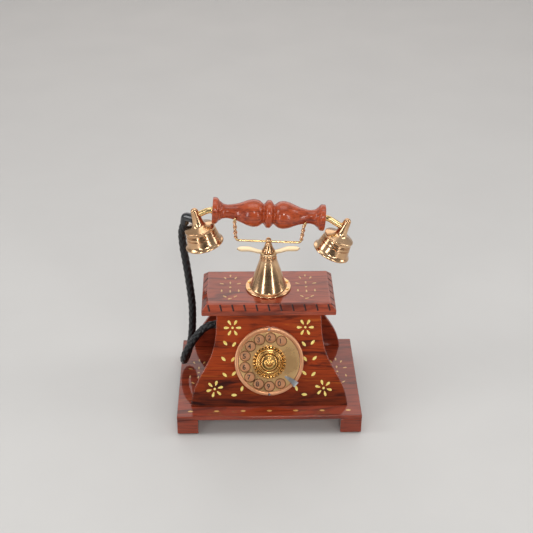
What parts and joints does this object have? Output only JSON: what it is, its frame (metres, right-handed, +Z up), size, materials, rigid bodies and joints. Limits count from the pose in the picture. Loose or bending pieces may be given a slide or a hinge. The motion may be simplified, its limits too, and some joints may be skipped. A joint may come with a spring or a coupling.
{
  "type": "cradle telephone",
  "caption": "Dial telephone with an ogee wooden case on block feet, a brass dial, a cone tower with a sprung fork, and a turned handle with two bell cups on a braided cord.",
  "frame": {"origin": "Middle of the base board's outline, on the surface that the feet stand on.", "axes": "X to the right of a person facing the dial, Y away from that person, Z up."},
  "size_m": [0.228, 0.166, 0.2706],
  "materials": {
    "lacquered_wood": "gloss lacquer",
    "handle_wood": "gloss lacquer",
    "polished_brass": "polished",
    "gilt_brass": "polished",
    "steel": "satin",
    "black_plastic": "gloss",
    "black_braid": "woven",
    "felt": "matte",
    "copper": "satin",
    "cream_enamel": "satin"
  },
  "bodies": {
    "case": {"felt_pads": "felt", "feet": "lacquered_wood", "base_board": "lacquered_wood", "base_inlay": "gilt_brass", "bottom_cover": "steel", "cover_screws": "steel", "front_panel": "lacquered_wood", "front_inlay": "gilt_brass", "rear_board": "lacquered_wood", "side_wall_left": "lacquered_wood", "side_wall_right": "lacquered_wood", "top_plate": "lacquered_wood", "top_inlay": "gilt_brass", "case_screws": "steel", "dial_seat": "steel", "dial_ring": "polished_brass", "ring_screws": "steel", "number_plate": "cream_enamel", "mainspring": "steel", "impulse_contacts": "copper", "finger_stop": "steel", "tower_cone": "polished_brass", "tower_screws": "steel", "tower_collar": "polished_brass", "wings": "gilt_brass", "plunger_spring": "steel", "hook_bracket": "steel", "hook_contacts": "copper", "gongs": "polished_brass", "ringer_frame": "steel", "ringer_coils": "copper", "terminal_block": "black_plastic", "line_jack": "black_plastic", "case_gland": "black_plastic", "handset_cord": "black_braid"},
    "dial": {"finger_wheel": "polished_brass", "hole_rims": "polished_brass", "dial_hub": "gilt_brass", "dial_shaft": "steel", "dial_gear": "polished_brass"},
    "governor": {"governor": "polished_brass"},
    "cradle": {"plunger": "steel", "plunger_cap": "polished_brass", "cradle_bar": "gilt_brass", "cradle_risers": "polished_brass", "cradle_forks": "gilt_brass"},
    "hook_lever": {"hook_lever": "steel"},
    "clapper": {"clapper": "polished_brass"},
    "handset": {"handle": "handle_wood", "tube_left": "gilt_brass", "tube_right": "gilt_brass", "cup_left": "polished_brass", "cup_right": "polished_brass", "mouth_grille": "black_plastic", "ear_grille": "black_plastic", "transmitter": "steel", "receiver": "steel", "handset_gland": "black_plastic"}
  },
  "joints": [
    {"name": "dial_turn", "type": "hinge", "parent": "case", "child": "dial", "pos_m": [0, -0.03907, 0.0805], "axis": [0, 0.91, -0.4147], "range_deg": [0, 327], "stiffness_Nm_per_rad": 0.01, "springref_deg": -28.65},
    {"name": "governor_spin", "type": "hinge", "parent": "case", "child": "governor", "pos_m": [0.0242, -0.03907, 0.0805], "axis": [0, 0.91, -0.4147], "range_deg": [-700, 0]},
    {"name": "handset_lift", "type": "slide", "parent": "case", "child": "handset", "axis": [0, 0, 1], "range_m": [0, 0.06], "deforming": ["handset_cord"]},
    {"name": "cradle_rise", "type": "slide", "parent": "case", "child": "cradle", "axis": [0, 0, 1], "range_m": [0, 0.004], "deforming": ["plunger_spring"]},
    {"name": "hook_swing", "type": "hinge", "parent": "case", "child": "hook_lever", "pos_m": [0.02, 0.02785, 0.1123], "axis": [0, 1, 0], "range_deg": [0, 18]},
    {"name": "clapper_swing", "type": "hinge", "parent": "case", "child": "clapper", "pos_m": [0, 0.006, 0.044], "axis": [0, 0, 1], "range_deg": [-8.8, 8.8]}
  ],
  "couplings": [
    {"joint": "governor_spin", "follows": "dial_turn", "ratio": -2.12},
    {"joint": "cradle_rise", "follows": "handset_lift", "ratio": 0.066667},
    {"joint": "hook_swing", "follows": "handset_lift", "rad_per_m": 5}
  ]
}
